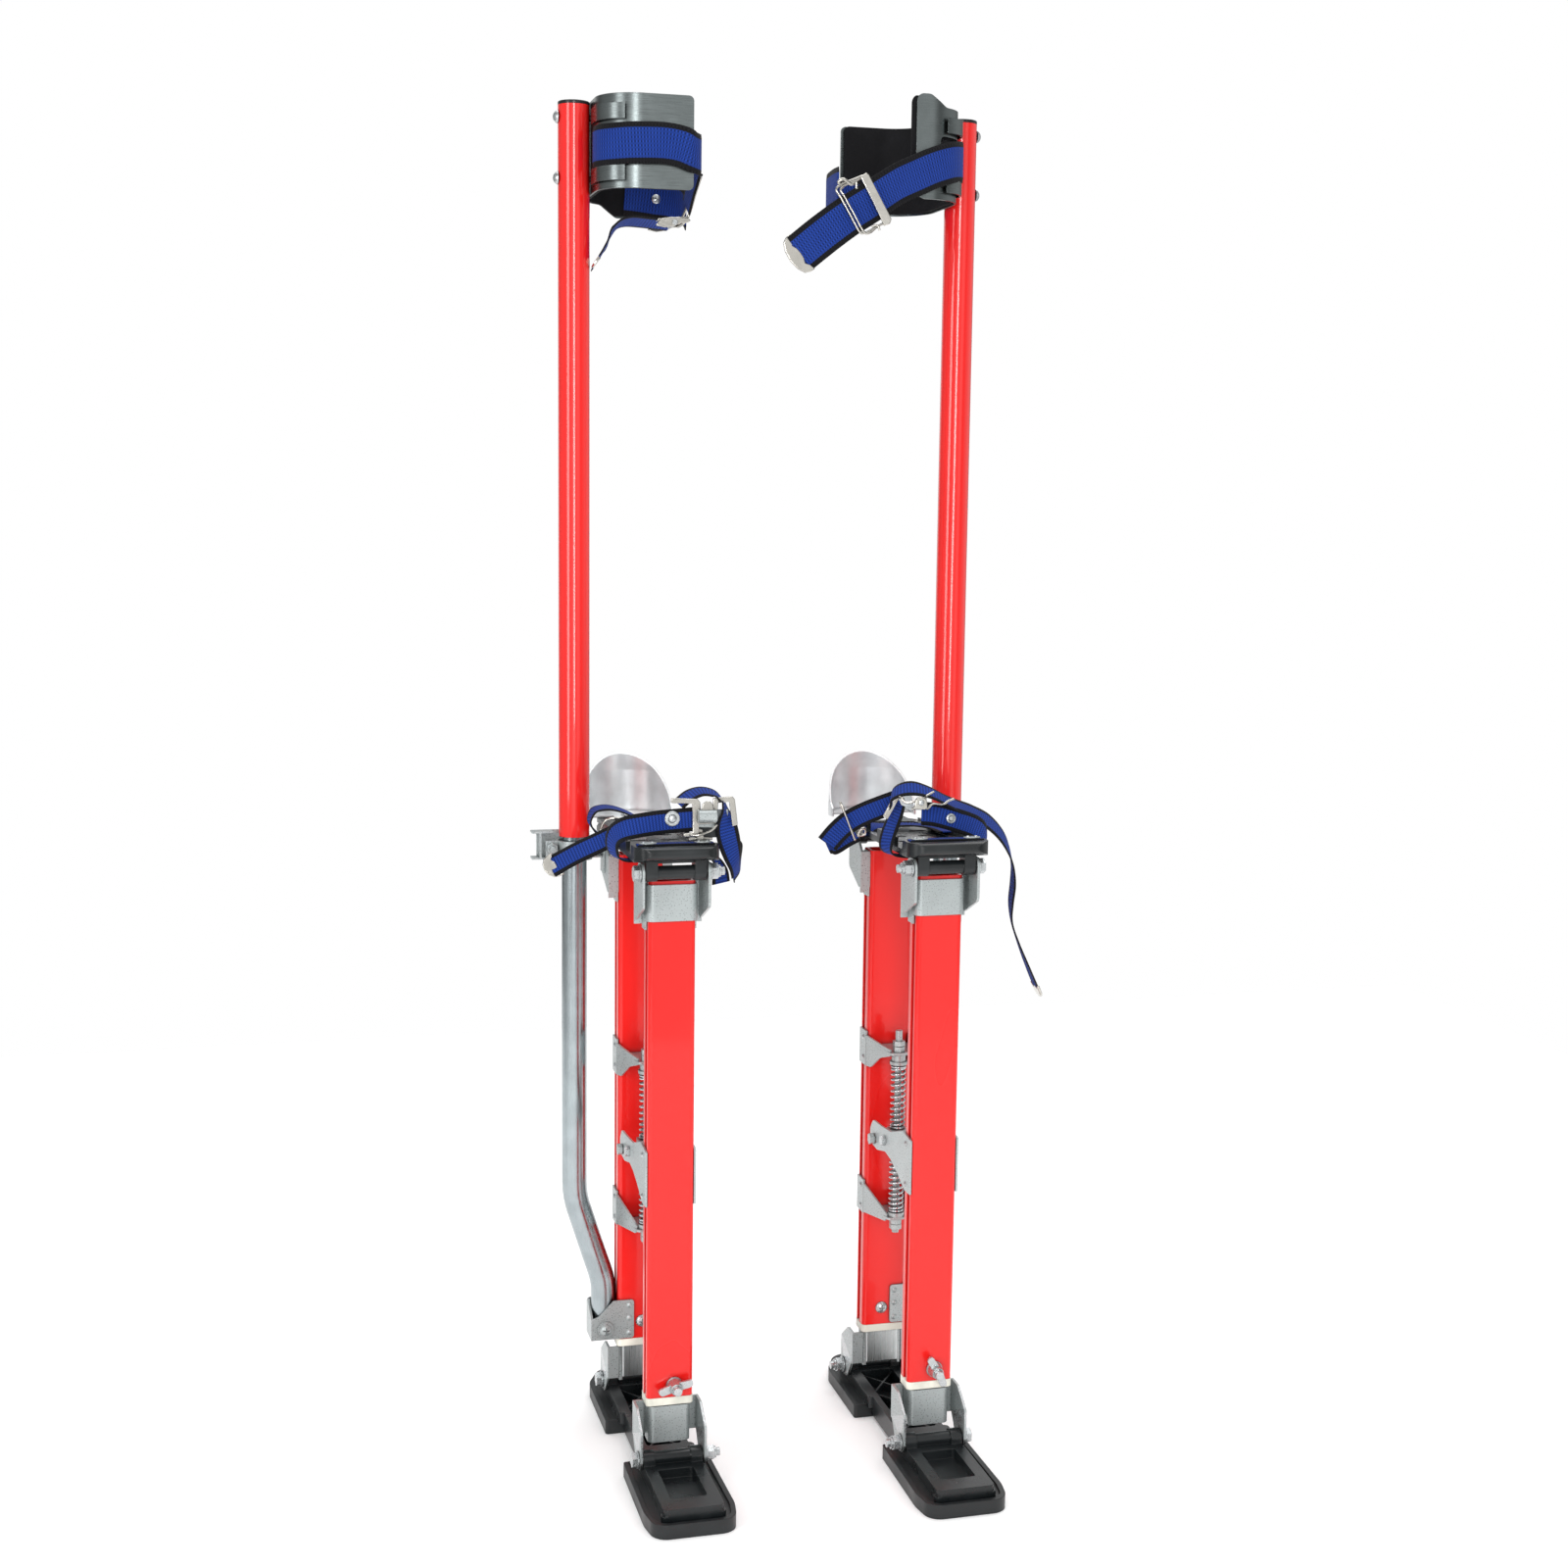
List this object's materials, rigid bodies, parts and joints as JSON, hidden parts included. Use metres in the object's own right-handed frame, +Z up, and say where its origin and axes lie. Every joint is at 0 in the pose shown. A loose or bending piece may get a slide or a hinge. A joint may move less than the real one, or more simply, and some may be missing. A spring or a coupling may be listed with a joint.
{
  "type": "drywall stilts",
  "caption": "Pair of height-adjustable work stilts: twin telescoping struts on a rocking sole, spring-centred linkage, footboard with straps and heel cup, leg tube with calf band.",
  "frame": {"origin": "middle of the pair's overall footprint, on the floor under the rubber pads", "axes": "+Z up along the struts, -Y towards the wearer's toes, +X towards the left-foot stilt"},
  "size_m": [0.4878, 0.406, 1.3195],
  "materials": {
    "black_plastic": "satin moulded",
    "rubber": "dull moulded",
    "zinc_hardware": "bright zinc plated",
    "aluminium": "satin extruded",
    "aluminium_tube": "polished drawn tube",
    "aluminium_cup": "polished stamped",
    "aluminium_band": "brushed",
    "steel_bracket": "zinc plated, satin",
    "spring_wire": "plated spring wire",
    "red_paint": "gloss powder coat",
    "red_tube": "gloss powder coat",
    "white_nylon": "plain nylon",
    "webbing": "woven webbing with black edges",
    "buckle_steel": "nickel plated",
    "black_lining": "foam rubber sheet"
  },
  "bodies": {
    "right_sole": {"r_floor_frame": "black_plastic", "r_floor_pads": "rubber", "r_lower_axles": "zinc_hardware"},
    "right_rear_inner": {"r_rear_inner_leg": "aluminium"},
    "right_front_inner": {"r_front_inner_leg": "aluminium"},
    "right_rear_strut": {"r_rear_outer_strut": "red_paint", "r_rear_bushing": "white_nylon", "r_rear_top_bracket": "steel_bracket", "r_spring_carrier": "steel_bracket", "r_spring_upper": "spring_wire", "r_spring_lower": "spring_wire", "r_tube_brackets": "steel_bracket", "r_leg_tube_lower": "aluminium_tube"},
    "right_front_strut": {"r_front_outer_strut": "red_paint", "r_front_bushing": "white_nylon", "r_front_brackets": "steel_bracket"},
    "right_spring_block": {"r_spring_block": "steel_bracket"},
    "right_front_wing": {"r_front_wing_bolt": "zinc_hardware"},
    "right_rear_wing": {"r_rear_wing_bolt": "zinc_hardware"},
    "right_footboard": {"r_footboard": "black_plastic", "r_footboard_bolts": "zinc_hardware", "r_foot_straps": "webbing", "r_foot_buckles": "buckle_steel"},
    "right_heel_cup": {"r_heel_cup": "aluminium_cup"},
    "right_leg_support": {"r_leg_tube_upper": "red_tube", "r_end_cap": "black_plastic", "r_calf_band": "aluminium_band", "r_calf_lining": "black_lining", "r_calf_strap": "webbing", "r_calf_buckle": "buckle_steel"},
    "left_sole": {"l_floor_frame": "black_plastic", "l_floor_pads": "rubber", "l_lower_axles": "zinc_hardware"},
    "left_rear_inner": {"l_rear_inner_leg": "aluminium"},
    "left_front_inner": {"l_front_inner_leg": "aluminium"},
    "left_rear_strut": {"l_rear_outer_strut": "red_paint", "l_rear_bushing": "white_nylon", "l_rear_top_bracket": "steel_bracket", "l_spring_carrier": "steel_bracket", "l_spring_upper": "spring_wire", "l_spring_lower": "spring_wire", "l_tube_brackets": "steel_bracket", "l_leg_tube_lower": "aluminium_tube"},
    "left_front_strut": {"l_front_outer_strut": "red_paint", "l_front_bushing": "white_nylon", "l_front_brackets": "steel_bracket"},
    "left_spring_block": {"l_spring_block": "steel_bracket"},
    "left_front_wing": {"l_front_wing_bolt": "zinc_hardware"},
    "left_rear_wing": {"l_rear_wing_bolt": "zinc_hardware"},
    "left_footboard": {"l_footboard": "black_plastic", "l_footboard_bolts": "zinc_hardware", "l_foot_straps": "webbing", "l_foot_buckles": "buckle_steel"},
    "left_heel_cup": {"l_heel_cup": "aluminium_cup"},
    "left_leg_support": {"l_leg_tube_upper": "red_tube", "l_end_cap": "black_plastic", "l_calf_band": "aluminium_band", "l_calf_lining": "black_lining", "l_calf_strap": "webbing", "l_calf_buckle": "buckle_steel"}
  },
  "joints": [
    {"name": "right_swing", "type": "hinge", "parent": "right_sole", "child": "right_rear_inner", "pos_m": [-0.13886, 0.1225, 0.0274], "axis": [1, 0, 0], "range_deg": [-9, 9], "stiffness_Nm_per_rad": 400},
    {"name": "right_front_swing", "type": "hinge", "parent": "right_sole", "child": "right_front_inner", "pos_m": [-0.13886, -0.0725, 0.0274], "axis": [1, 0, 0], "range_deg": [-9, 9]},
    {"name": "right_height", "type": "slide", "parent": "right_rear_inner", "child": "right_rear_strut", "axis": [0, 0, 1], "range_m": [0, 0.406]},
    {"name": "right_front_height", "type": "slide", "parent": "right_front_inner", "child": "right_front_strut", "axis": [0, 0, 1], "range_m": [0, 0.406]},
    {"name": "right_foot_pitch", "type": "hinge", "parent": "right_rear_strut", "child": "right_footboard", "pos_m": [-0.13886, 0.1225, 0.594], "axis": [1, 0, 0], "range_deg": [-9, 9]},
    {"name": "right_spring_travel", "type": "slide", "parent": "right_rear_strut", "child": "right_spring_block", "axis": [0, 0, 1], "range_m": [-0.031, 0.031], "deforming": ["r_spring_upper", "r_spring_lower"]},
    {"name": "right_heel_slide", "type": "slide", "parent": "right_footboard", "child": "right_heel_cup", "axis": [0, 1, 0], "range_m": [-0.015, 0.015]},
    {"name": "right_tube_height", "type": "slide", "parent": "right_rear_strut", "child": "right_leg_support", "axis": [0, 0, 1], "range_m": [-0.32, 0]},
    {"name": "right_front_wing_turn", "type": "hinge", "parent": "right_front_strut", "child": "right_front_wing", "pos_m": [-0.13486, -0.05035, 0.0947], "axis": [0, -1, 0], "range_deg": [0, 180]},
    {"name": "right_rear_wing_turn", "type": "hinge", "parent": "right_rear_strut", "child": "right_rear_wing", "pos_m": [-0.13646, 0.10035, 0.1005], "axis": [0, 1, 0], "range_deg": [0, 180]},
    {"name": "left_swing", "type": "hinge", "parent": "left_sole", "child": "left_rear_inner", "pos_m": [0.11614, 0.1015, 0.0274], "axis": [1, 0, 0], "range_deg": [-9, 9], "stiffness_Nm_per_rad": 400},
    {"name": "left_front_swing", "type": "hinge", "parent": "left_sole", "child": "left_front_inner", "pos_m": [0.11614, -0.0935, 0.0274], "axis": [1, 0, 0], "range_deg": [-9, 9]},
    {"name": "left_height", "type": "slide", "parent": "left_rear_inner", "child": "left_rear_strut", "axis": [0, 0, 1], "range_m": [0, 0.406]},
    {"name": "left_front_height", "type": "slide", "parent": "left_front_inner", "child": "left_front_strut", "axis": [0, 0, 1], "range_m": [0, 0.406]},
    {"name": "left_foot_pitch", "type": "hinge", "parent": "left_rear_strut", "child": "left_footboard", "pos_m": [0.11614, 0.1015, 0.594], "axis": [1, 0, 0], "range_deg": [-9, 9]},
    {"name": "left_spring_travel", "type": "slide", "parent": "left_rear_strut", "child": "left_spring_block", "axis": [0, 0, 1], "range_m": [-0.031, 0.031], "deforming": ["l_spring_upper", "l_spring_lower"]},
    {"name": "left_heel_slide", "type": "slide", "parent": "left_footboard", "child": "left_heel_cup", "axis": [0, 1, 0], "range_m": [-0.015, 0.015]},
    {"name": "left_tube_height", "type": "slide", "parent": "left_rear_strut", "child": "left_leg_support", "axis": [0, 0, 1], "range_m": [-0.32, 0]},
    {"name": "left_front_wing_turn", "type": "hinge", "parent": "left_front_strut", "child": "left_front_wing", "pos_m": [0.12014, -0.07135, 0.0947], "axis": [0, -1, 0], "range_deg": [0, 180]},
    {"name": "left_rear_wing_turn", "type": "hinge", "parent": "left_rear_strut", "child": "left_rear_wing", "pos_m": [0.11374, 0.07935, 0.1005], "axis": [0, 1, 0], "range_deg": [0, 180]},
    {"name": "left_stilt_apart", "type": "slide", "parent": "right_sole", "child": "left_sole", "axis": [1, 0, 0], "range_m": [0, 0.3]}
  ],
  "couplings": [
    {"joint": "right_front_swing", "follows": "right_swing", "ratio": 1},
    {"joint": "right_foot_pitch", "follows": "right_swing", "ratio": -1},
    {"joint": "right_spring_travel", "follows": "right_swing", "m_per_rad": 0.195},
    {"joint": "right_front_height", "follows": "right_height", "ratio": 1},
    {"joint": "left_front_swing", "follows": "left_swing", "ratio": 1},
    {"joint": "left_foot_pitch", "follows": "left_swing", "ratio": -1},
    {"joint": "left_spring_travel", "follows": "left_swing", "m_per_rad": 0.195},
    {"joint": "left_front_height", "follows": "left_height", "ratio": 1}
  ]
}
